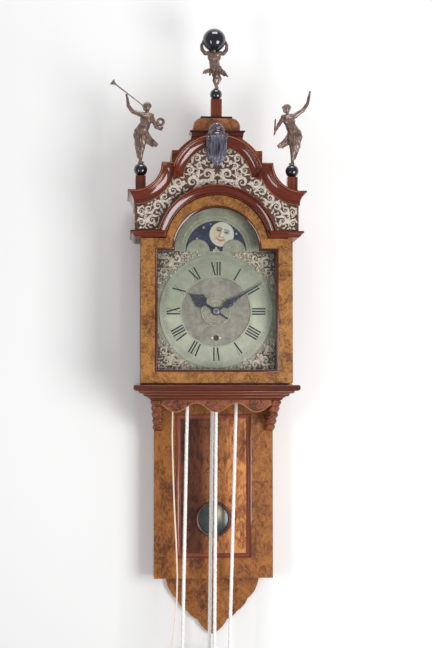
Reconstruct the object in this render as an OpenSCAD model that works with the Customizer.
// Dutch tail clock: a wall clock with an arched hood, a pendulum tail and one rope-hung weight.
// The origin is the hole of the wall hanger, the wall is the plane y = 0 and the front faces -Y.

/* [Tail case] */
// Width of the tail box
tail_w = 276; // [262:1:290]
// Depth of the tail from the wall to its front face
tail_depth = 60; // [58:1:66]
// Height of the tail box below the shelf
tail_h = 447; // [430:1:480]
// Thickness of the backboard
back_t = 12; // [10:1:13]
// Thickness of the side boards
side_t = 10; // [8:1:12]
// Thickness of the front frame of the tail
frame_t = 14; // [12:1:15]
// Width of the stiles of the tail
stile_w = 50; // [44:1:54]
// Height of the bottom rail of the tail
rail_h = 46; // [36:1:56]
// Width of the moulding round the recess
mould_w = 11; // [8:0.5:14]
// Thickness of the recessed panel
panel_t = 6; // [5:0.5:6.5]
// Height of the shaped board under the tail
apron_h = 136; // [110:1:150]
// Radius of the round glass in the tail
lens_r = 38; // [32:0.5:44]
// Width of the ring round that glass
lens_ring_w = 4; // [3:0.5:7]
// Height of that glass above the moulding under it
lens_up = 78.4; // [60:0.1:100]

/* [Shelf] */
// Drop of the shelf top below the hanger
shelf_drop = 380; // [375:1:392]
// Height of the shelf moulding
shelf_h = 34; // [30:1:40]
// Overhang of the shelf beyond the hood, to the sides and front
shelf_over = 15.5; // [10:0.5:20]
// Thickness of the wavy board under the shelf
wavy_t = 8; // [6:0.5:12]
// Height of that board at its lobes
wavy_h = 27; // [20:0.5:34]
// Height of the carved brackets
bracket_h = 72; // [60:1:90]
// Width of a bracket
bracket_w = 21; // [16:0.5:24]

/* [Hood] */
// Width of the hood at its sides
hood_w = 343; // [338:1:352]
// Depth of the hood from the wall to the back of the door
hood_depth = 158; // [157:1:162]
// Thickness of the hood boards
board_t = 12; // [9:1:13]
// How far the frieze stands out from the hood's sides
frieze_out = 13; // [8:0.5:16]
// How far the lower cornice stands out from the frieze
low_out = 11; // [6:0.5:15]
// How far the upper cornice stands out from the frieze
up_out = 17; // [12:0.5:22]
// Height of the lower cornice
low_h = 14; // [10:0.5:16]
// Height of the roof above the hanger
roof_z = 58; // [55:1:62]
// Diameter of the black balls at the sides
ball_d = 30.5; // [24:0.5:36]
// Width of the square plinths under the balls
plinth_w = 23; // [18:0.5:26]
// Height of the side plinths above the roof
plinth_h = 35; // [25:1:45]
// Height of the middle plinth
mid_plinth_h = 41.5; // [30:0.5:55]
// Width of the block behind the pediment
block_w = 204; // [190:1:220]
// Height of that block
block_h = 91; // [80:1:100]
// Width of the pediment under its top cornice
top_w = 114; // [100:1:124]
// Height from that block to the top cornice
neck_h = 31; // [25:1:36]
// Height of the top cornice
top_cornice_h = 13; // [10:0.5:16]
// Height of the cushion on the pediment
dome_h = 33; // [24:1:40]
// Height of a trumpeter to the top of the head
figure_h = 138; // [125:1:150]
// Height of the globe bearer with the globe
bearer_h = 139.7; // [125:0.1:150]
// Radius of the globe on top
globe_r = 26.7; // [22:0.1:30]

/* [Door] */
// Thickness of the door
door_t = 17; // [15:0.5:17.5]
// Gap between the door and what stands round it
door_gap = 1.5; // [1.2:0.1:1.6]
// Radius of the door's arched head
arch_r = 116.5; // [112:0.5:117]
// Drop of the arch centre below the hanger
arch_drop = 68.3; // [66:0.1:70]
// Width of the door's stiles
door_stile = 37; // [34:0.5:40]
// Radius of the glass opening in the arched head
sight_r = 96.7; // [92:0.1:98]
// Thickness of the glass
glass_t = 2.5; // [2:0.1:3]
// Radius of a hinge pin
pin_r = 2.5; // [2:0.1:3]

/* [Dial] */
// Width of the dial plate
dial_w = 274; // [268:1:280]
// Thickness of the dial plate
dial_t = 2; // [1.5:0.1:2.5]
// Drop of the dial centre below the hanger
dial_drop = 212.4; // [211:0.1:214]
// Outer radius of the chapter ring
chapter_r = 129; // [124:0.5:131]
// Inner radius of the chapter ring
chapter_in = 79; // [75:0.5:84]
// Radius of the moon's window
window_r = 69.4; // [66:0.1:71]
// Radius of a painted moon on its disc
moon_r = 27.6; // [25:0.1:28]
// Distance of a moon from the middle of its disc
moon_orbit = 41; // [40.5:0.1:41.5]
// Radius of the humps that hide the moon
hump_r = 26.4; // [25:0.1:27]
// Radius of the alarm disc
alarm_r = 34; // [28:0.5:38]
// Length of the minute hand from its centre
minute_len = 124; // [110:1:126]
// Length of the hour hand from its centre
hour_len = 73; // [60:1:80]

/* [Movement] */
// Width of the movement's plates
plate_w = 164; // [160:1:176]
// Thickness of the plates
plate_t = 3; // [2.5:0.1:3]
// Module of the great wheels
great_m = 1.2; // [1.2:0.01:1.2]
// Teeth of the going great wheel
great_teeth = 72; // [72:1:72]
// Radius of the ropes' run on the going pulley
going_r = 32; // [30:0.5:32.5]
// Radius of the ropes' run on the strike pulley
strike_r = 28.8; // [27:0.2:29]
// Radius of the bell
bell_r = 42; // [36:1:44]
// Height of the pendulum's pivot above the middle of the dial
swing_up = 65.8; // [62:0.1:70]
// Radius of the pendulum bob
bob_r = 45; // [36:1:52]

/* [Weight] */
// Diameter of the ropes
rope_d = 7.6; // [6.4:0.2:8]
// Radius of the rope's run on the weight's sheave
sheave_r = 32.5; // [31:0.5:34]
// Radius of the rope's run on the counterweight
counter_r = 19.6; // [18.8:0.2:20.4]
// Gap between the driving weight and the tail behind it
weight_gap = 9.5; // [6:0.5:14]
// Length of the driving weight
weight_h = 150; // [120:1:180]
// Drop of the weight's sheave below the tail box, when wound down
fall_l = 223; // [200:1:260]
// Drop of the counterweight below the tail box
counter_l = 183; // [160:1:200]

/* [Hidden] */
$fn = 72;

// Colours
walnut = [0.50, 0.29, 0.13];
mahogany = [0.36, 0.15, 0.09];
brass = [0.72, 0.60, 0.34];
silvered = [0.62, 0.63, 0.55];
bronze = [0.42, 0.34, 0.29];
steel = [0.45, 0.46, 0.48];
cream = [0.86, 0.82, 0.74];
lead = [0.35, 0.35, 0.37];
pane = [0.75, 0.82, 0.84, 0.4];

// Clearances
slack = 0.3;
run = 0.05;
seat = 0.2;

// Tail
tail_x = tail_w / 2;
tail_floor_z = -shelf_drop - tail_h;
recess_x = tail_x - stile_w;
recess_top = -shelf_drop - 67;
recess_bottom = tail_floor_z + rail_h;
panel_front = tail_depth - frame_t + panel_t;
lens_z = recess_bottom + mould_w + lens_up;

// Shelf and the slots in it
shelf_z = -shelf_drop;
rope_slot = [-84, 68];
pendulum_slot = 34;
seat_h = 12;

// Hood
hood_x = hood_w / 2;
frieze_x = hood_x + frieze_out;
door_back = hood_depth + 3;
door_front = door_back + door_t;
frieze_y = door_front + 6;
shelf_front = door_front + shelf_over;
hood_bottom = shelf_z + seat;
low_z = -47;
door_top = low_z - door_gap - 0.8;
door_bottom = hood_bottom + 4.5;
arch_z = -arch_drop;
arch_clear = arch_r + door_gap;
arch_width = 20.6;
mid_x = block_w / 2;
mid_z = roof_z + block_h;
top_x = top_w / 2;
top_z = mid_z + neck_h;
cornice_top_z = top_z + top_cornice_h;
hood_travel = 190;

// Door
hinge_x = hood_x - 6;
hinge_y = door_front - 5;
sight_x = hood_x - door_stile;
shoulder_z = arch_z - 8;
sight_bottom = door_bottom + 29.5;

// Dial and what lies behind it
dial_back = hood_depth - 18;
dial_front = dial_back + dial_t;
dial_z = -dial_drop;
moon_z = arch_z - 6.6;
moon_disc_r = window_r + 5;
date_z = dial_z - 60.6;
window_edge = window_r + 10.5;

// Movement
front_plate = dial_back - 14;
rear_plate = front_plate - 60;
plate_top = dial_z + swing_up + 24.6;
seat_front = front_plate + 10;
plate_foot = shelf_z + seat_h;
arbor_r = 3;
thin_arbor_r = 1.5;
pivot_r = 1;
great_pinion = 8;
centre_teeth = 72;
third_pinion = 8;
third_teeth = 63;
escape_pinion = 7;
escape_teeth = 30;
third_m = 0.8;
cannon_teeth = 24;
minute_teeth = 48;
minute_pinion = 10;
hour_teeth = 60;
hour_m = 0.72;
cannon_m = 0.7;
strike_teeth = 56;
locking_pinion = 7;
locking_teeth = 48;
fly_pinion = 6;
locking_m = 0.9;
swing_z = dial_z + swing_up;
swing_y = tail_depth / 2;
pendulum_l = swing_z - lens_z;
cock_front = swing_y + 15;
crutch_y = (rear_plate - plate_t + cock_front) / 2;
crutch_half = (rear_plate - plate_t - cock_front) / 9;
escape_r = 18;
centre_at = [0, dial_z];
great_gap = great_m * (great_teeth + great_pinion) / 2;
going_at = [-28.5, dial_z - sqrt(great_gap * great_gap - 28.5 * 28.5)];
strike_at = [25.5, going_at[1]];
escape_at = [0, swing_z - 26];
third_at = meet(centre_at, (centre_teeth + third_pinion) / 2, escape_at, third_m * (third_teeth + escape_pinion) / 2);
locking_gap = great_m * (strike_teeth + locking_pinion) / 2;
locking_at = strike_at + locking_gap * [cos(20), sin(20)];
fly_at = locking_at + locking_m * (locking_teeth + fly_pinion) / 2 * [cos(80), sin(80)];
minute_gap = cannon_m * (cannon_teeth + minute_teeth) / 2;
minute_at = centre_at + [minute_gap, 0];
going_y = front_plate - 15;
strike_y = front_plate - 32;
pulley_half = 6.8;
hammer_at = [62, plate_top - 28];
bell_y = rear_plate - 1.5;
bell_z = plate_top + 44;

// Ropes: the falls run straight from the pulleys to the sheaves below
groove_gap = 0.6;
fall_z = tail_floor_z - fall_l;
counter_z = tail_floor_z - counter_l;
weight_x = (going_at[0] - going_r + strike_at[0] - strike_r) / 2 - 12.4;
counter_x = (going_at[0] + going_r + strike_at[0] + strike_r) / 2 - 12.9;
weight_r = (going_y + strike_y) / 2 - tail_depth - weight_gap;
rope_slot_y = [-going_y - 13, -strike_y + 14];
cord_y = strike_y + 6;
rope_mid_y = (going_y + strike_y) / 2;
half_gap = (going_y - strike_y) / 2;
weight_turn = asin(half_gap / sheave_r);
counter_turn = asin(half_gap / counter_r);
alarm_d = 3.6;
alarm_bends = [
    [-78, 0, -300.5], [-86, 0, -350], [-93, 0, -400], [-97, 1, -440], [-98, 2, -500], [-96.5, 2, -560],
    [-93, 2, -660], [-88.5, 2, -740], [-86, 2, -815], [-87, 2, -866], [-91, 2, -914], [-96, 2, -960], [-97, 2, -992]
];
alarm_route = [for (p = alarm_bends) [p[0], -cord_y - p[1], p[2]]];

// The upper cornice follows these ellipses and circles
horn_at = [frieze_x + 3.5, roof_z + 62];
horn_in = [horn_at[0] - mid_x - 23.5, horn_at[1] - roof_z + 0.5];
horn_out = horn_in + [32, 32];
bow_out = [0, roof_z + 20, mid_x + 4.7];
bow_in = [0, roof_z + 24, mid_x - 25.5];

// Where two circles cross, on the left of the line from a to b
function meet(a, ra, b, rb) =
    let (d = norm(b - a), along = (ra * ra - rb * rb + d * d) / (2 * d), up = sqrt(ra * ra - along * along), u = (b - a) / d)
    a + along * u + up * [-u[1], u[0]];

// Points of an arc about c, from angle a0 to a1
function arc(c, r, a0, a1, n) = [for (i = [0:n]) let (a = a0 + (a1 - a0) * i / n) [c[0] + r * cos(a), c[1] + r * sin(a)]];

// Points of an elliptic arc with half axes r
function oval(c, r, a0, a1, n) =
    [for (i = [0:n]) let (a = a0 + (a1 - a0) * i / n) [c[0] + r[0] * cos(a), c[1] + r[1] * sin(a)]];

function mirrored(points) = [for (i = [len(points) - 1:-1:0]) [-points[i][0], points[i][1]]];

// Outline of a gear: n teeth on pitch radius n * m / 2, one tooth centred on angle at
function gear_points(n, m, tip, root, tip_share, root_share, at) =
    let (r0 = n * m / 2 - root * m, r1 = n * m / 2 + tip * m, step = 360 / n)
    [for (i = [0:n - 1], k = [[-root_share, r0], [-tip_share, r1], [tip_share, r1], [root_share, r0]])
        let (a = at + step * (i + k[0])) [k[1] * cos(a), k[1] * sin(a)]];

// A solid between two depths in front of the wall, from an outline in X and Z
module deep(front, back) {
    translate([0, -back, 0]) rotate([90, 0, 0]) linear_extrude(front - back) children();
}

module board(x0, x1, front, back, z0, z1) {
    translate([x0, -front, z0]) cube([x1 - x0, front - back, z1 - z0]);
}

module rod(at, front, back, r) {
    deep(front, back) translate(at) circle(r);
}

module both_sides() {
    children();
    mirror([1, 0, 0]) children();
}

module wheel(n, m, at, turn, front, back, hub) {
    difference() {
        deep(front, back) translate(at) polygon(gear_points(n, m, 0.75, 1.2, 0.1, 0.22, turn));
        if (n > 40) {
            deep(front + 1, back - 1) translate(at) for (i = [0:3]) {
                rotate(45 + 90 * i) translate([(n * m / 2 - 3.5 * m + hub) / 2, 0]) circle((n * m / 2 - 3.5 * m - hub) / 2.6, $fn = 24);
            }
        }
    }
}

module pinion(n, m, at, turn, front, back) {
    deep(front, back) translate(at) polygon(gear_points(n, m, 0.3, 1.1, 0.08, 0.14, turn));
}

// An arbor between the plates, with a pivot in each of them
module arbor(at, r) {
    rod(at, front_plate - plate_t - slack, rear_plate + slack, r);
    rod(at, front_plate - 0.4, rear_plate - plate_t + 0.4, pivot_r);
}

// A tube of diameter d swept along route, closed at both ends
module tube(route, d, sides) {
    n = len(route);
    function unit(v) = v / norm(v);
    function dir(i) = i == 0 ? unit(4 * route[1] - 3 * route[0] - route[2])
        : i == n - 1 ? unit(3 * route[i] - 4 * route[i - 1] + route[i - 2]) : unit(route[i + 1] - route[i - 1]);
    function side(i) = unit(cross(dir(i), [0.1, 1, 0.02]));
    rings = [for (i = [0:n - 1], k = [0:sides - 1])
        let (a = 360 * k / sides, u = side(i), v = cross(dir(i), u)) route[i] + d / 2 * (cos(a) * u + sin(a) * v)];
    walls = [for (i = [0:n - 2], k = [0:sides - 1])
        let (j = (k + 1) % sides) [i * sides + k, (i + 1) * sides + k, (i + 1) * sides + j, i * sides + j]];
    polyhedron(points = rings, faces = concat(walls,
        [[for (k = [0:sides - 1]) k]], [[for (k = [sides - 1:-1:0]) (n - 1) * sides + k]]));
}

module limb(p, q, r0, r1) {
    hull() {
        translate(p) sphere(r0, $fn = 12);
        translate(q) sphere(r1, $fn = 12);
    }
}

// Tail case

module backboard() {
    color(mahogany) difference() {
        board(-tail_x + side_t, tail_x - side_t, back_t, 0, tail_floor_z, 40);
        board(-20, 20, plate_t, -1, -30, 30);
        rod([0, 0], back_t + 1, -1, 9);
        for (z = [-20, 20]) rod([0, z], back_t + 1, -1, 2);
    }
}

module tail_sides() {
    color(walnut) {
        both_sides() board(tail_x - side_t, tail_x, tail_depth - frame_t, 0, tail_floor_z, shelf_z - shelf_h);
        board(-tail_x + side_t, tail_x - side_t, tail_depth - frame_t, back_t, tail_floor_z, tail_floor_z + side_t);
    }
}

module tail_front_frame() {
    color(walnut) difference() {
        board(-tail_x, tail_x, tail_depth, tail_depth - frame_t, tail_floor_z, shelf_z - shelf_h);
        board(-recess_x, recess_x, tail_depth + 1, tail_depth - frame_t - 1, recess_bottom, recess_top);
    }
}

module panel_moulding() {
    inner_x = recess_x - mould_w;
    color(mahogany) difference() {
        union() {
            board(-recess_x, recess_x, tail_depth - 2, panel_front, recess_bottom, recess_top);
            board(-recess_x + 3, recess_x - 3, tail_depth + 1.5, panel_front, recess_bottom + 3, recess_top - 3);
        }
        board(-inner_x, inner_x, tail_depth + 2, panel_front - 1, recess_bottom + mould_w, recess_top - mould_w);
    }
}

module tail_panel() {
    color(walnut) difference() {
        board(-recess_x, recess_x, panel_front, tail_depth - frame_t, recess_bottom, recess_top);
        rod([0, lens_z], tail_depth, 0, lens_r);
    }
}

module lenticle_ring() {
    color(brass) translate([0, -panel_front, lens_z]) rotate([90, 0, 0]) rotate_extrude()
        polygon([[lens_r - 2, 0], [lens_r - 2, 4], [lens_r + 1, 5.5], [lens_r + lens_ring_w, 2], [lens_r + lens_ring_w, 0]]);
}

module lenticle_glass() {
    bulge = 5;
    glass_r = lens_r - 2;
    dome_r = (glass_r * glass_r + bulge * bulge) / (2 * bulge);
    color(pane) translate([0, -panel_front, lens_z]) rotate([90, 0, 0]) intersection() {
        difference() {
            translate([0, 0, bulge - dome_r]) sphere(dome_r, $fn = 144);
            translate([0, 0, bulge - dome_r]) sphere(dome_r - 2, $fn = 144);
        }
        cylinder(h = bulge + 1, r = glass_r);
    }
}

// Points of a bow from p to q that rises by h to its left, without q
function bow(p, q, h, n) =
    let (c = norm(q - p), r = (c * c / 4 + h * h) / (2 * h), u = (q - p) / c, v = [-u[1], u[0]],
        mid = (p + q) / 2 - (r - h) * v, half = asin(c / 2 / r))
    [for (i = [0:n - 1]) let (a = -half + 2 * half * i / n) mid + r * (sin(a) * u + cos(a) * v)];

// Half of the scalloped edge under the tail, from its top right corner to its tip
tail_knots = [[0.79, 0], [0.785, 0.08], [0.6, 0.4], [0.42, 0.61], [0.25, 0.75], [0, 1]];
tail_bulge = [0.4, 4.8, 3.4, 2.4, 4.4];

function tail_curve() = concat(
    [for (i = [0:len(tail_knots) - 2], p = bow(tail_knot(i), tail_knot(i + 1), tail_bulge[i], 5)) p],
    [tail_knot(len(tail_knots) - 1)]);

function tail_knot(i) = [tail_knots[i][0] * tail_x, -tail_knots[i][1] * apron_h];

module tail_apron() {
    half = tail_curve();
    color(walnut) translate([0, 0, tail_floor_z]) deep(back_t, 0)
        polygon(concat(half, mirrored(half)));
}

// Shelf

module shelf_layer(out, z0, z1) {
    board(-hood_x - out, hood_x + out, door_front + out, 0, shelf_z + z0, shelf_z + z1);
}

module shelf_moulding() {
    color(mahogany) difference() {
        union() {
            shelf_layer(shelf_over - 2, -2, 0);
            shelf_layer(shelf_over, -0.36 * shelf_h, -2);
            shelf_layer(shelf_over - 4, -0.4 * shelf_h, -0.36 * shelf_h);
            shelf_layer(2.6, -0.57 * shelf_h, -0.4 * shelf_h);
            shelf_layer(-8, -0.76 * shelf_h, -0.57 * shelf_h);
            shelf_layer(-19, -shelf_h, -0.76 * shelf_h);
        }
        board(-tail_x + side_t, tail_x - side_t, back_t, -1, shelf_z - shelf_h - 1, shelf_z + 1);
        board(-pendulum_slot, pendulum_slot, tail_depth - frame_t, back_t - 1, shelf_z - shelf_h - 1, shelf_z + 1);
        board(rope_slot[0], rope_slot[1], -rope_slot_y[0], -rope_slot_y[1], shelf_z - shelf_h - 1, shelf_z + 1);
        board(rope_slot[0] - 22, rope_slot[0] + 1, cord_y + 6, cord_y - 6, shelf_z - shelf_h - 1, shelf_z + 1);
    }
}

module shelf_apron() {
    w = hood_x - 46;
    n = 48;
    wave = [for (i = [0:n]) let (x = -w + 2 * w * i / n) [x, -wavy_h * (0.62 + 0.38 * cos(360 * abs(x) / 92))]];
    color(mahogany) translate([0, 0, shelf_z - shelf_h]) deep(door_front - 24, door_front - 24 - wavy_t)
        polygon(concat([[w, 0], [-w, 0]], wave));
}

module carved_brackets() {
    top = shelf_z - shelf_h;
    reach = door_front - 16;
    side_view = concat(
        [[tail_depth, 0], [reach, 0], [reach, -16], [reach - 7, -18]],
        arc([reach - 28, -30], 20, 20, -60, 4), [[reach - 26, -50]],
        arc([reach - 58, -44], 30, -20, -80, 4), [[tail_depth + 12, -bracket_h + 4], [tail_depth, -bracket_h]]);
    color(walnut) both_sides() translate([tail_x - 11 + bracket_w, 0, top]) rotate([0, 0, -90]) rotate([90, 0, 0])
        linear_extrude(bracket_w) polygon(side_view);
}

module seatboard() {
    color(walnut) difference() {
        board(-tail_x + 8, tail_x - 8, seat_front, back_t, shelf_z, shelf_z + seat_h);
        board(-pendulum_slot, pendulum_slot, tail_depth - frame_t, back_t - 1, shelf_z - 1, shelf_z + seat_h + 1);
        board(rope_slot[0], rope_slot[1], -rope_slot_y[0], -rope_slot_y[1], shelf_z - 1, shelf_z + seat_h + 1);
        board(rope_slot[0] - 22, rope_slot[0] + 1, cord_y + 6, cord_y - 6, shelf_z - 1, shelf_z + seat_h + 1);
    }
}

module wall_hanger() {
    color(steel) difference() {
        board(-20, 20, plate_t, 0, -30, 30);
        rod([0, 0], back_t, -1, 5);
        for (z = [-20, 20]) rod([0, z], back_t, -1, 2);
    }
}

module case_screws() {
    color(steel) {
        for (z = [-20, 20]) {
            rod([0, z], back_t, 0.5, 2);
            rod([0, z], back_t + 2, back_t, 4);
        }
        for (x = [28 - tail_x, tail_x - 28], y = [-back_t - 8, 8 - seat_front]) translate([x, y, shelf_z + seat_h]) cylinder(h = 3, r = 5);
    }
}

// Movement

module movement_plate(front) {
    difference() {
        board(-plate_w / 2, plate_w / 2, front, front - plate_t, plate_foot, plate_top);
        for (at = [going_at, strike_at, third_at, escape_at, locking_at, fly_at, hammer_at])
            rod(at, front + 1, front - plate_t - 1, pivot_r + run);
        if (front == front_plate) rod(centre_at, front + 1, front - plate_t - 1, arbor_r + run);
        if (front == rear_plate) rod(centre_at, front + 1, front - plate_t - 1, pivot_r + run);
        if (front == front_plate) rod([0, swing_z], front + 1, front - plate_t - 1, pivot_r + run);
        if (front == rear_plate) rod([0, swing_z], front + 1, front - plate_t - 1, 6);
    }
}

module movement_frame() {
    color(brass) {
        movement_plate(front_plate);
        movement_plate(rear_plate);
        for (x = [-plate_w / 2 + 5, plate_w / 2 - 5], z = [plate_foot + 9, plate_top - 9])
            rod([x, z], front_plate - plate_t, rear_plate, 4);
        rod(minute_at, front_plate + 8.8, front_plate, 1.5);
        // The thin cord is tied to this pin between the plates
        rod([alarm_bends[0][0], alarm_bends[0][2] + 2.5], front_plate - plate_t, rear_plate, 2);
        // The cock behind the rear plate carries the anchor's rear pivot and the pendulum
        difference() {
            union() {
                board(-16, 16, cock_front, cock_front - 4, swing_z - 6, swing_z + 14);
                for (x = [-16, 11]) board(x, x + 5, rear_plate - plate_t, cock_front, swing_z - 6, swing_z + 14);
                board(-4, 4, cock_front - 4, swing_y - 5, swing_z + 1, swing_z + 12);
            }
            rod([0, swing_z], cock_front + 1, cock_front - 5, pivot_r + run);
            board(-0.6, 0.6, swing_y + 3.5, swing_y - 3.5, swing_z, swing_z + 8);
        }
        // The bell's stand rises from the rear plate
        translate([0, -bell_y, plate_top]) cylinder(h = bell_z + bell_r - 0.2 - plate_top, r = 3.5);
        board(-12, 12, rear_plate + 2, rear_plate - plate_t - 2, plate_top, plate_top + 4);
    }
}

module bell() {
    color(silvered) translate([0, -bell_y, bell_z]) difference() {
        union() {
            sphere(bell_r);
            translate([0, 0, bell_r - 1]) cylinder(h = 5, r = 7);
        }
        sphere(bell_r - 2.5);
        translate([0, 0, -bell_r - 1]) cylinder(h = bell_r + 1, r = bell_r + 1);
        cylinder(h = bell_r + 6, r = 3.5);
    }
}

module centre_wheel() {
    color(brass) {
        union() {
            rod(centre_at, dial_front + 9, rear_plate + slack, arbor_r);
            rod(centre_at, rear_plate + slack, rear_plate - plate_t + 0.4, pivot_r);
            pinion(great_pinion, great_m, centre_at, great_phase + 180 + 180 / great_pinion, front_plate - 4.4, front_plate - 8.6);
            wheel(centre_teeth, 1, centre_at, third_phase, front_plate - 41.4, front_plate - 43.6, 6);
            rod(centre_at, front_plate - 39, front_plate - 45.5, 6);
            wheel(cannon_teeth, cannon_m, centre_at, 0, front_plate + 4.5, front_plate + 1.5, 4);
        }
    }
}

// Directions of the lines between arbors, so that the teeth are in mesh
great_phase = atan2(centre_at[1] - going_at[1], centre_at[0] - going_at[0]);
third_phase = atan2(third_at[1] - centre_at[1], third_at[0] - centre_at[0]);
escape_phase = atan2(escape_at[1] - third_at[1], escape_at[0] - third_at[0]);

module going_great_wheel() {
    color(brass) {
        wheel(great_teeth, great_m, going_at, great_phase, front_plate - 5, front_plate - 7.4, 12);
        rod(going_at, front_plate - 5, front_plate - 7.4, 12);
        arbor(going_at, arbor_r);
    }
}

module rope_pulley(at, y, r) {
    groove = r - rope_d / 2 - groove_gap;
    difference() {
        union() {
            rod(at, y + pulley_half, y - pulley_half, groove);
            rod(at, y + pulley_half, y + pulley_half - 2, r + 4.5);
            rod(at, y - pulley_half + 2, y - pulley_half, r + 4.5);
        }
        rod(at, y + pulley_half + 1, y - pulley_half - 1, arbor_r);
    }
}

module going_pulley() {
    color(brass) rope_pulley(going_at, going_y, going_r);
}

module strike_pulley() {
    color(brass) difference() {
        rope_pulley(strike_at, strike_y, strike_r);
        rod(strike_at, strike_y + 9, strike_y - 9, arbor_r + run);
    }
}

module third_wheel() {
    color(brass) {
        arbor(third_at, thin_arbor_r);
        pinion(third_pinion, 1, third_at, third_phase + 180 + 180 / third_pinion, front_plate - 40.4, front_plate - 44.6);
        wheel(third_teeth, third_m, third_at, escape_phase, front_plate - 33.8, front_plate - 36, 5);
        rod(third_at, front_plate - 33, front_plate - 36.5, 5);
    }
}

module escape_wheel() {
    teeth = [for (i = [0:escape_teeth - 1], k = [[0, escape_r - 3.4], [0.62, escape_r - 3.4], [0.12, escape_r]])
        let (a = -360 / escape_teeth * (i + k[0])) [k[1] * cos(a), k[1] * sin(a)]];
    color(brass) {
        arbor(escape_at, thin_arbor_r);
        pinion(escape_pinion, third_m, escape_at, escape_phase + 180 + 180 / escape_pinion, front_plate - 32.8, front_plate - 37);
        deep(front_plate - 25.6, front_plate - 27.6) translate(escape_at) polygon(teeth);
        rod(escape_at, front_plate - 25, front_plate - 30, 4);
    }
}

module pallet_anchor() {
    gap = 1.3;
    out_r = escape_r + gap;
    drop = swing_z - escape_at[1];
    color(steel) {
        rod([0, swing_z], front_plate - plate_t - slack, cock_front + slack, thin_arbor_r);
        rod([0, swing_z], front_plate - 0.4, cock_front - 3.6, pivot_r);
        // The anchor spans the escape wheel without touching its teeth at any swing
        difference() {
            deep(front_plate - 25, front_plate - 28.2) translate(escape_at) polygon(concat(arc([0, 0], out_r + 6, 25, 155, 12), arc([0, 0], out_r, 155, 25, 12)));
            rod([0, swing_z], front_plate - 24, front_plate - 29, thin_arbor_r / 2);
        }
        rod([0, swing_z], front_plate - 25, front_plate - 28.2, drop - out_r - 1);
        // The crutch: a wire down behind the rear plate and a fork round the pendulum rod
        rod([0, swing_z], crutch_y + crutch_half, crutch_y - crutch_half, 4);
        translate([0, -crutch_y, swing_z - 61]) cylinder(h = 60, r = 0.6 * crutch_half);
        board(-5, 5, crutch_y + crutch_half, swing_y + 6, swing_z - 63, swing_z - 60);
        both_sides() board(2.5 + slack, 5, swing_y + 6, swing_y - 6, swing_z - 63, swing_z - 60);
    }
}

module pendulum() {
    color(brass) {
        board(-0.3, 0.3, swing_y + 3, swing_y - 3, swing_z - 16, swing_z + 5);
        translate([0, -swing_y, swing_z - pendulum_l]) cylinder(h = pendulum_l - 15, r = 2.5);
        translate([0, -swing_y, swing_z - pendulum_l]) rotate([90, 0, 0]) rotate_extrude() intersection() {
            translate([0, -8]) square([bob_r, 16]);
            union() {
                translate([0, 8 - 140]) circle(140, $fn = 144);
                polygon([[0, 0], [0.01, 0], [0, 0.01]]);
            }
            translate([0, 140 - 8]) circle(140, $fn = 144);
        }
        translate([0, -swing_y, swing_z - pendulum_l - bob_r - 14]) cylinder(h = 20, r = 2.5);
        translate([0, -swing_y, swing_z - pendulum_l - bob_r - 12]) cylinder(h = 5, r = 6);
    }
}

module hour_wheel() {
    color(brass) difference() {
        union() {
            wheel(hour_teeth, hour_m, centre_at, 3, front_plate + 8, front_plate + 5.6, 8);
            rod(centre_at, dial_front + 3.6, front_plate + 5.6, 5);
            rod(centre_at, front_plate + 8.4, front_plate + 5.6, 8);
        }
        rod(centre_at, dial_front + 4, front_plate + 5, arbor_r + run);
    }
}

module minute_wheel() {
    color(brass) difference() {
        union() {
            wheel(minute_teeth, cannon_m, minute_at, 180 + 180 / minute_teeth, front_plate + 4.2, front_plate + 1.8, 3.5);
            pinion(minute_pinion, hour_m, minute_at, 180 + 180 / minute_pinion + 18, front_plate + 8.6, front_plate + 4.2);
        }
        rod(minute_at, front_plate + 9, front_plate + 1, 1.5 + run);
    }
}

// Strike train

module strike_great_wheel() {
    phase = 20;
    color(brass) {
        arbor(strike_at, arbor_r);
        wheel(strike_teeth, great_m, strike_at, phase, front_plate - 46.6, front_plate - 49, 9);
        rod(strike_at, front_plate - 45, front_plate - 50, 9);
        for (i = [0:7]) rod(strike_at + 26 * [cos(45 * i), sin(45 * i)], front_plate - 44, front_plate - 49, 1.2);
    }
}

module locking_wheel() {
    color(brass) {
        arbor(locking_at, thin_arbor_r);
        pinion(locking_pinion, great_m, locking_at, 200 + 180 / locking_pinion, front_plate - 45.6, front_plate - 50);
        wheel(locking_teeth, locking_m, locking_at, 80, front_plate - 16, front_plate - 18, 4);
        rod(locking_at, front_plate - 15, front_plate - 19, 4);
    }
}

module strike_fly() {
    color(brass) {
        arbor(fly_at, thin_arbor_r);
        pinion(fly_pinion, locking_m, fly_at, 260 + 180 / fly_pinion, front_plate - 15, front_plate - 19);
        board(fly_at[0] - 14, fly_at[0] + 14, front_plate - 22, front_plate - 42, fly_at[1] - 0.5, fly_at[1] + 0.5);
    }
}

module hammer() {
    head = [bell_r + 7.5, bell_z + 6];
    color(steel) {
        arbor(hammer_at, thin_arbor_r);
        rod(hammer_at, rear_plate + 4, rear_plate + 0.5, 4);
        deep(rear_plate + 3.5, rear_plate + 1) polygon([hammer_at + [-1.5, 0], hammer_at + [1.5, 0], head + [1.5, 0], head + [-1.5, 0]]);
        translate([head[0] - 6.5, -rear_plate - 2.2, head[1]]) rotate([0, 90, 0]) cylinder(h = 13, r = 4.5);
        deep(front_plate - 44, front_plate - 45.8) polygon([hammer_at + [-1.5, 0], hammer_at + [1.5, 0], hammer_at + [-12.5, -76], hammer_at + [-15, -76]]);
    }
}

// Dial

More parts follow.
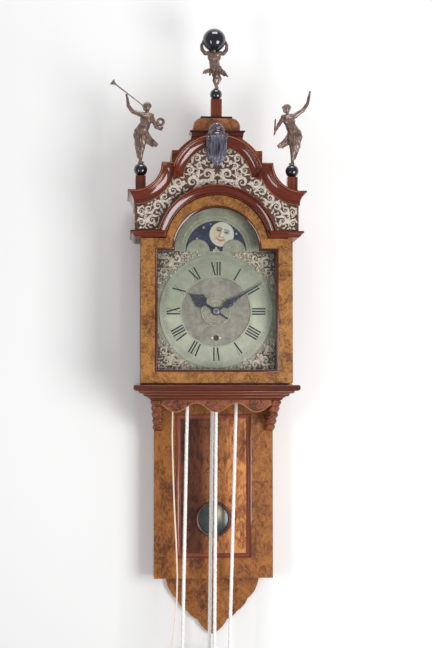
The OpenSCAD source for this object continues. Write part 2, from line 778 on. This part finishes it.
module dial_plate() {
    half = dial_w / 2;
    color(silvered) {
        difference() {
            deep(dial_front, dial_back) union() {
                translate([-half, dial_z - half]) square([dial_w, shoulder_z + 3 - dial_z + half]);
                translate([0, moon_z]) circle(sight_r + 3);
            }
            deep(dial_front + 1, dial_back - 1) difference() {
                translate([0, moon_z]) circle(window_r);
                translate([-window_r - 1, moon_z - window_r - 1]) square([2 * window_r + 2, window_r + 1]);
                for (s = [-1, 1]) translate([s * moon_orbit, moon_z]) circle(hump_r);
                translate([0, moon_z]) circle(6);
            }
            rod([0, date_z], dial_front + 1, dial_back - 1, 6.5);
            rod(centre_at, dial_front + 1, dial_back - 1, 7.4);
        }
        // Feet of the dial, riveted to it and pinned in the front plate
        for (x = [8 - plate_w / 2, plate_w / 2 - 8], z = [dial_z - half + 12, plate_top - 26])
            rod([x, z], dial_back, front_plate, 2.5);
        rod([0, moon_z], dial_back, dial_back - 6, 3);
        // Three studs guide the date ring by its inner edge
        for (a = [90, 210, 330]) rod(centre_at + (51 - 2.5 - slack) * [cos(a), sin(a)], dial_back, dial_back - 5, 2.5);
    }
}

module chapter_ring() {
    color(silvered) difference() {
        rod(centre_at, dial_front + 1.5, dial_front, chapter_r);
        rod(centre_at, dial_front + 2, dial_front - 1, chapter_in);
    }
}

module corner_spandrels() {
    reach = dial_w / 2 - 3;
    color(brass) for (sx = [-1, 1], sz = [-1, 1]) if (true) {
        top = sz > 0 ? shoulder_z - dial_z : reach;
        difference() {
            deep(dial_front + 2.5, dial_front) translate(centre_at) intersection() {
                translate([sx > 0 ? 0 : -reach, sz > 0 ? 0 : -top]) square([reach, top]);
                translate([sx * reach, sz * top]) circle(52);
            }
            rod(centre_at, dial_front + 3, dial_front - 1, chapter_r + 0.8);
        }
    }
}

module alarm_disc() {
    color(brass) difference() {
        union() {
            rod(centre_at, dial_front + 1.8, dial_front + 0.4, alarm_r);
            rod(centre_at, dial_front + 1.8, dial_back - 2, 7);
        }
        rod(centre_at, dial_front + 3, dial_back - 3, 5 + run);
    }
}

module date_ring() {
    color(silvered) difference() {
        rod(centre_at, dial_back - 2.4, dial_back - 3.6, 72);
        rod(centre_at, dial_back, dial_back - 5, 51);
    }
}

module moon_disc() {
    color([0.1, 0.13, 0.3]) difference() {
        rod([0, moon_z], dial_back - 0.4, dial_back - 1.9, moon_disc_r);
        rod([0, moon_z], dial_back, dial_back - 3, 3 + run);
    }
}

module minute_hand() {
    turn = 58;
    y = dial_front + 6.4;
    color(steel) difference() {
        deep(y + 1.6, y) translate(centre_at) rotate(90 - turn) union() {
            circle(9);
            polygon([[0, -2.2], [30, -2.6], [minute_len, -0.8], [minute_len, 0.8], [30, 2.6], [0, 2.2]]);
            translate([34, 0]) circle(8);
            translate([-16, -2]) square([16, 4]);
        }
        rod(centre_at, y + 3, y - 1, arbor_r);
    }
}

module hour_hand() {
    turn = -57;
    y = dial_front + 2.6;
    color(steel) difference() {
        deep(y + 1.6, y) translate(centre_at) rotate(90 - turn) union() {
            circle(11);
            polygon([[0, -3], [26, -3], [hour_len, -0.8], [hour_len, 0.8], [26, 3], [0, 3]]);
            translate([36, 0]) circle(11);
        }
        rod(centre_at, y + 3, y - 1, 5);
    }
}

// Hood

module side_wall() {
    difference() {
        board(hood_x - board_t, hood_x, hood_depth, back_t + 2, hood_bottom, roof_z - board_t);
        board(hood_x - board_t - 1, hood_x + 1, hood_depth - 36, back_t + 34, hood_bottom + 60, low_z - 50);
        board(hinge_x - 4, hood_x + 1, hood_depth + 1, hood_depth - 30, hood_bottom - 1, hood_bottom + 1.3);
    }
}

module hood_carcass() {
    color(walnut) {
        both_sides() side_wall();
        both_sides() board(hood_x, frieze_x, hood_depth, back_t + 2, low_z, roof_z);
        board(-hood_x, hood_x, hood_depth, back_t + 2, roof_z - board_t, roof_z);
        // Rail across the foot, behind the door
        board(board_t - hood_x, hinge_x - 4.2, hood_depth, hood_depth - board_t, hood_bottom, hood_bottom + 16);
        difference() {
            deep(frieze_y, hood_depth) polygon(board_outline());
            rod([0, arch_z], frieze_y + 1, hood_depth - 1, arch_clear);
            both_sides() board(plinth_x - plinth_w / 2, frieze_x + 1, plinth_y + plinth_w / 2, hood_depth - 1, roof_z, roof_z + plinth_h);
        }
    }
}

function board_outline() =
    let (right = concat([[frieze_x, low_z], [frieze_x, roof_z]], oval(horn_at, horn_in, -97.5, -180, 8), [[mid_x, horn_at[1]], [mid_x, mid_z]],
        arc([bow_out[0], bow_out[1]], bow_out[2] + 6.3, 39, 59, 4), [[top_x, top_z]]))
    concat(right, mirrored(right));

module side_windows() {
    color(pane) both_sides()
        board(hood_x - board_t / 2 - 1.5, hood_x - board_t / 2 + 1.5, hood_depth - 36, back_t + 34, hood_bottom + 60, low_z - 50);
}

// A cornice that grows outwards in steps from z0 to z1, along the front and both sides of the hood
module stepped_cornice(z0, z1, out0, out1, inner_x) {
    steps = 4;
    h = (z1 - z0) / steps;
    for (i = [0:steps - 1]) {
        out = out0 + (out1 - out0) * i / (steps - 1);
        both_sides() {
            board(inner_x, frieze_x + out, frieze_y + out, frieze_y, z0 + i * h, z0 + (i + 1) * h);
            board(frieze_x, frieze_x + out, frieze_y, back_t + 2, z0 + i * h, z0 + (i + 1) * h);
        }
    }
}

module lower_cornice() {
    color(mahogany) difference() {
        stepped_cornice(low_z, low_z + low_h, 1, low_out, 110);
        rod([0, arch_z], frieze_y + 30, frieze_y - 1, arch_clear + 5);
    }
}

module arch_moulding() {
    inner = arch_clear;
    outer = inner + arch_width;
    color(mahogany) intersection() {
        translate([0, -frieze_y, arch_z]) rotate([90, 0, 0]) rotate_extrude() polygon([
            [inner + 0.6, 0], [inner + 1.5, 3], [inner + 4, 9], [inner + 7.5, 14], [outer - 4, 16], [outer - 3, 19], [outer, 19], [outer, 0]
        ]);
        board(-outer - 1, outer + 1, frieze_y + 30, frieze_y - 1, low_z + low_h, arch_z + outer + 1);
    }
}

module fretwork() {
    band_top = 22;
    color(cream) difference() {
        deep(frieze_y + 2.5, frieze_y) polygon(concat(
            [[frieze_x - 2, low_z + low_h + 1], [frieze_x - 2, band_top]],
            oval(horn_at, horn_out + [1, 1], -93.6, -159, 6),
            arc([bow_in[0], bow_in[1]], bow_in[2] - 1, 4.5, 175.5, 22),
            [for (p = mirrored(oval(horn_at, horn_out + [1, 1], -93.6, -159, 6))) p],
            [[-frieze_x + 2, band_top], [-frieze_x + 2, low_z + low_h + 1]]));
        rod([0, arch_z], frieze_y + 3, frieze_y - 1, arch_clear + arch_width + 0.2);
        for (s = [-1, 1], p = [[160, -12], [160, 8], [110, 30], [78, 74], [44, 96], [30, 122], [10, 92]])
            rod([s * p[0], p[1]], frieze_y + 3, frieze_y - 1, 4);
    }
}

// One step of the hollow sweep at each side of the upper cornice
module horn_step(share, out) {
    low = horn_out * (1 - share) + horn_in * share;
    z_low = 26 + (roof_z - 26) * share;
    deep(frieze_y + out, frieze_y) polygon(concat(
        [[frieze_x + out, roof_z], [frieze_x + out, z_low]],
        [[frieze_x - 1, z_low]], oval(horn_at, low, -94, -160, 8),
        [[mid_x - 1, horn_at[1]]], oval(horn_at, horn_in, -180, -94, 8)));
}

module upper_cornice() {
    color(mahogany) {
        both_sides() union() {
            for (i = [0:3]) {
                share = i / 4;
                out = 3 + (up_out - 3) * (1 - sqrt(1 - i * i / 9));
                horn_step(share, out);
                board(frieze_x, frieze_x + out, frieze_y, back_t + 2, 26 + (roof_z - 26) * share, roof_z);
            }
        }
        // The bow between the horns, in steps
        difference() {
            union() for (i = [0:3]) {
                share = i / 4;
                out = 3 + (up_out - 3) * (1 - sqrt(1 - i * i / 9));
                deep(frieze_y + out, frieze_y) difference() {
                    translate([0, bow_out[1]]) circle(bow_out[2]);
                    translate([0, bow_in[1] + (bow_out[1] - bow_in[1]) * share]) circle(bow_in[2] + (bow_out[2] - bow_in[2]) * share);
                    translate([-150, -60]) square([300, 60 + 88]);
                }
            }
            board(-150, 150, frieze_y + 60, frieze_y - 1, top_z, mid_z + 200);
            both_sides() board(mid_x - 8, 150, frieze_y + 60, frieze_y - 1, 80, horn_at[1] + 0.01);
        }
        board(-top_x - 1.5, top_x + 1.5, frieze_y + up_out - 9, frieze_y - 40, top_z, cornice_top_z - 6);
        board(-top_x - 5, top_x + 5, frieze_y + up_out - 6, frieze_y - 40, cornice_top_z - 6, cornice_top_z);
    }
}

module pediment_top() {
    color(walnut) {
        board(-mid_x, mid_x, hood_depth, back_t + 32, roof_z, mid_z);
        board(-top_x + 4, top_x - 4, hood_depth, back_t + 48, mid_z, top_z);
        board(-top_x + 4, top_x - 4, frieze_y - 40, back_t + 48, top_z, cornice_top_z);
        // The cushion that the middle plinth stands on
        dome_r = 0.6 * dome_h;
        translate([0, 0, cornice_top_z]) deep(hood_depth + 8, back_t + 62) intersection() {
            translate([-top_x, 0]) square([2 * top_x, dome_h]);
            union() {
                translate([-top_x + 4, 0]) square([2 * top_x - 8, dome_h - dome_r]);
                translate([-top_x + 4 + dome_r, 0]) square([2 * top_x - 8 - 2 * dome_r, dome_h]);
                for (s = [-1, 1]) translate([s * (top_x - 4 - dome_r), dome_h - dome_r]) circle(dome_r);
            }
        }
        board(21 - top_x, top_x - 21, hood_depth, hood_depth - 58, cornice_top_z + dome_h, mid_plinth_z);
    }
}

plinth_x = frieze_x - 0.5 - plinth_w / 2;
plinth_y = hood_depth + 2;
mid_plinth_y = hood_depth - 18;
mid_plinth_z = cornice_top_z + dome_h + 5.5;
side_ball_z = roof_z + plinth_h + ball_d / 2 - 1;
mid_ball_z = mid_plinth_z + mid_plinth_h + ball_d / 2 - 3;

module finial_plinths() {
    half = plinth_w / 2;
    color(mahogany) {
        both_sides() board(plinth_x - half, plinth_x + half, plinth_y + half, plinth_y - half, roof_z, roof_z + plinth_h);
        board(-half - 1, half + 1, mid_plinth_y + half + 1, mid_plinth_y - half - 1, mid_plinth_z, mid_plinth_z + mid_plinth_h);
    }
}

module finial_ball(x, y, z, r, floor_z) {
    difference() {
        translate([x, -y, z]) sphere(r);
        board(x - r - 1, x + r + 1, y + r + 1, y - r - 1, z - r - 1, floor_z);
        board(x - r - 1, x + r + 1, y + r + 1, y - r - 1, z + r - 1, z + r + 1);
    }
}

module finial_balls() {
    color([0.03, 0.03, 0.03]) {
        for (s = [-1, 1]) finial_ball(s * plinth_x, plinth_y, side_ball_z, ball_d / 2, roof_z + plinth_h);
        finial_ball(0, mid_plinth_y, mid_ball_z, ball_d / 2 - 1.5, mid_plinth_z + mid_plinth_h);
    }
}

// Figures: limbs from joint to joint, standing on their balls

module trumpeter(blows) {
    scale(figure_h / 138) intersection() {
        union() {
            limb([0, 0, 4], [0, 0, 38], 4, 8);
            limb([0, 0, 38], [2, 0, 68], 9, 14);
            limb([0, 0, 68], [-4, 0, 96], 12, 9);
            limb([-16, 0, 107], [14, 0, 109], 5.5, 6);
            limb([-4, 0, 96], [0, 0, 108], 9, 8);
            limb([-4, 0, 104], [-13, 0, 122], 5, 4);
            limb([-14, 0, 128], [-14, 0, 126], 9, 10);
            limb([2, 4, 70], [-38, 2, 47], 6, 4);
            limb([14, 0, 109], [25, 0, 132], 5, 4);
            limb([25, 0, 132], [32, 0, 155], 4, 3.5);
            limb([-16, 0, 107], [-36, 0, 86], 5, 4);
            limb([-36, 0, 86], [-46, 0, 77], 4, 3.5);
            if (blows) {
                limb([-10.5, -7, 129], [51.5, -8, 173], 2.2, 4);
                limb([51.5, -8, 173], [60.5, -8, 179], 4, 9);
                limb([-47.5, -4, 80], [-48.5, -4, 96], 4, 10);
            } else {
                limb([-39.5, -2, 70], [-41.5, -2, 104], 3, 3);
            }
        }
        translate([-200, -100, 0]) cube([400, 200, 400]);
    }
}

module trumpeters() {
    top = side_ball_z + ball_d / 2 - 1;
    color(bronze) {
        translate([plinth_x, -plinth_y, top]) trumpeter(false);
        translate([-plinth_x, -plinth_y, top]) mirror([1, 0, 0]) trumpeter(true);
    }
}

module globe_bearer() {
    k = bearer_h / 139.7;
    color(bronze) translate([0, -mid_plinth_y, mid_ball_z + ball_d / 2 - 2.5]) intersection() {
        union() {
            scale(k) {
                limb([-2, 0, 3], [4, 0, 20], 4, 6);
                limb([3, 0, 3], [-4, 0, 20], 4, 6);
                limb([0, 0, 24], [0, 0, 44], 15, 12);
                limb([-26, 0, 36], [24, 0, 32], 4, 4);
                limb([-4, 0, 52], [-4, 0, 80], 11, 13);
                limb([-4, 0, 84], [-28, 0, 83], 6, 5);
                limb([-4, 0, 84], [20, 0, 83], 6, 5);
                limb([-28, 0, 83], [-32, 0, 106], 5, 4);
                limb([20, 0, 83], [24, 0, 106], 5, 4);
            }
            translate([-4 * k, 0, bearer_h - globe_r]) sphere(globe_r, $fn = 32);
        }
        translate([-100, -100, 0]) cube([200, 200, 300]);
    }
}

module crest_cartouche() {
    back = frieze_y + 3 + (up_out - 3) * 2 / 3;
    color([0.2, 0.18, 0.22]) {
        difference() {
            intersection() {
                translate([0, -back, top_z - 180]) {
                    limb([-14, -4, 178], [14, -4, 178], 13, 13);
                    limb([-13, -3, 178], [-12, -3, 140], 12, 10);
                    limb([13, -3, 178], [12, -3, 140], 12, 10);
                    limb([0, -4, 178], [0, -4, 118], 13, 7);
                    translate([0, -4, 190]) sphere(18, $fn = 24);
                }
                board(-60, 60, back + 60, back, top_z - 80, top_z + 80);
            }
            // Cut back where the bow's top step stands out
            deep(frieze_y + up_out, back - 1) difference() {
                translate([-50, top_z - 30]) square([100, 30]);
                translate([0, bow_in[1] + (bow_out[1] - bow_in[1]) * 3 / 4]) circle(bow_in[2] + (bow_out[2] - bow_in[2]) * 3 / 4);
            }
        }
        board(-11, 11, back, frieze_y + 2.5, top_z - 58, top_z - 24);
    }
}

// Door

module hinge_pins() {
    color(brass) {
        board(hinge_x - 4, hood_x, hinge_y + 3, hood_depth - 30, hood_bottom, hood_bottom + 1.3);
        translate([hinge_x, -hinge_y, hood_bottom]) cylinder(h = 16, r = pin_r);
        board(hinge_x - 4, hood_x, hinge_y + 3, hood_depth, low_z - 1.3, low_z);
        translate([hinge_x, -hinge_y, low_z - 16]) cylinder(h = 16, r = pin_r);
    }
}

module door_outline(grow) {
    translate([-hood_x + grow, door_bottom + grow]) square([hood_w - 2 * grow, door_top - door_bottom - 2 * grow]);
    translate([0, arch_z]) circle(arch_r - grow);
}

module sight_outline() {
    translate([-sight_x, sight_bottom]) square([2 * sight_x, shoulder_z - sight_bottom]);
    translate([0, shoulder_z]) circle(sight_r);
}

module door_frame() {
    rebate = 5;
    color(walnut) difference() {
        deep(door_front, door_back) door_outline(0);
        deep(door_front + 1, door_back - 1) sight_outline();
        deep(door_back + glass_t + 3, door_back - 1) {
            translate([-sight_x - rebate, sight_bottom - rebate])
                square([2 * (sight_x + rebate), shoulder_z - sight_bottom + 2 * rebate]);
            translate([0, shoulder_z]) circle(sight_r + rebate);
        }
        translate([hinge_x, -hinge_y, door_bottom - 1]) cylinder(h = 17, r = pin_r + run);
        translate([hinge_x, -hinge_y, door_top - 15.5]) cylinder(h = 17, r = pin_r + run);
    }
}

module door_glass() {
    rebate = 5 - slack;
    color(pane) deep(door_back + glass_t + 3, door_back + 3) {
        translate([-sight_x - rebate, sight_bottom - rebate])
            square([2 * (sight_x + rebate), shoulder_z - sight_bottom + 2 * rebate]);
        translate([0, shoulder_z]) circle(sight_r + rebate);
    }
}

// Weight, counterweight and ropes

module in_skew(x, z, turn) {
    translate([x, -rope_mid_y, z]) rotate([0, 0, turn]) children();
}

module sheave(r, half, flange, bore) {
    rotate([90, 0, 0]) difference() {
        union() {
            cylinder(h = 2 * half, r = r - rope_d / 2 - groove_gap, center = true);
            for (s = [-1, 1]) translate([0, 0, s * (half - 1)]) cylinder(h = 2, r = r + flange, center = true);
        }
        cylinder(h = 2 * half + 2, r = bore, center = true);
    }
}

module weight_sheave() {
    color(brass) in_skew(weight_x, fall_z, weight_turn) sheave(sheave_r, 6.5, 3, 3 + run);
}

module driving_weight() {
    strap = 4;
    eye_z = fall_z - sheave_r - 14;
    top = eye_z - 18;
    color(brass) {
        in_skew(weight_x, fall_z, weight_turn) {
            rotate([90, 0, 0]) cylinder(h = 22, r = 3, center = true);
            for (s = [-1, 1]) translate([-6, s * 8.9 - 1.5, -sheave_r - 12]) cube([12, 3, sheave_r + 22]);
            translate([-6, -10.4, -sheave_r - 16]) cube([12, 20.8, strap]);
            translate([0, 0, -sheave_r - 33]) cylinder(h = 18, r = 2.5);
        }
        translate([weight_x, -rope_mid_y, 0]) rotate_extrude() polygon(concat(
            [[0, top], [6, top]], arc([weight_r - 12, top - 18], 12, 90, 0, 6),
            arc([weight_r - 6, top - weight_h + 6], 6, 0, -90, 4), [[0, top - weight_h]]));
    }
}

module counterweight() {
    color(lead) in_skew(counter_x, counter_z, counter_turn) sheave(counter_r, 6.5, 3, 6);
}

// The loop hangs from the pulleys' outer sides, down one fall, round the sheave and up the other
function pulley_arc(at, y, r, a0, a1) = [for (p = arc(at, r, a0, a1, 6)) [p[0], -y, p[1]]];

function low_arc(x, z, r, turn) =
    [for (i = [0:12]) let (a = 180 + 15 * i) [x + r * cos(a) * cos(turn), -rope_mid_y + r * cos(a) * sin(turn), z + r * sin(a)]];

// Points of a straight fall between two points, without its ends
function fall(a, b) = [for (t = [0.06, 0.25, 0.5, 0.75, 0.94]) a + t * (b - a)];

function loop_route(going_side, strike_side, low) =
    concat(going_side, fall(going_side[6], low[0]), low, fall(low[12], strike_side[0]), strike_side);

module weight_rope() {
    color(cream) tube(loop_route(pulley_arc(going_at, going_y, going_r, 90.1, 180),
        pulley_arc(strike_at, strike_y, strike_r, 180, 90.1), low_arc(weight_x, fall_z, sheave_r, weight_turn)), rope_d, 12);
}

module counter_rope() {
    color(cream) tube(loop_route(pulley_arc(going_at, going_y, going_r, 89.9, 0),
        pulley_arc(strike_at, strike_y, strike_r, 0, 89.9), low_arc(counter_x, counter_z, counter_r, counter_turn)), rope_d, 12);
}

module alarm_cord() {
    color(cream) tube(alarm_route, alarm_d, 8);
    color(mahogany) translate([-97, -102, -992]) rotate_extrude()
        polygon([[0, 0], [3, 0], [4, -4], [9, -14], [7, -22], [3, -26], [0, -26]]);
}

backboard();
tail_sides();
tail_front_frame();
panel_moulding();
tail_panel();
lenticle_ring();
lenticle_glass();
tail_apron();
shelf_moulding();
shelf_apron();
carved_brackets();
seatboard();
wall_hanger();
case_screws();
movement_frame();
dial_plate();
chapter_ring();
corner_spandrels();
bell();
alarm_cord();
hood_carcass();
side_windows();
lower_cornice();
arch_moulding();
fretwork();
upper_cornice();
pediment_top();
finial_plinths();
finial_balls();
globe_bearer();
trumpeters();
crest_cartouche();
hinge_pins();
door_frame();
door_glass();
minute_hand();
centre_wheel();
hour_hand();
hour_wheel();
minute_wheel();
going_great_wheel();
going_pulley();
third_wheel();
escape_wheel();
date_ring();
moon_disc();
alarm_disc();
pendulum();
pallet_anchor();
driving_weight();
weight_sheave();
counterweight();
weight_rope();
counter_rope();
strike_pulley();
strike_great_wheel();
locking_wheel();
strike_fly();
hammer();
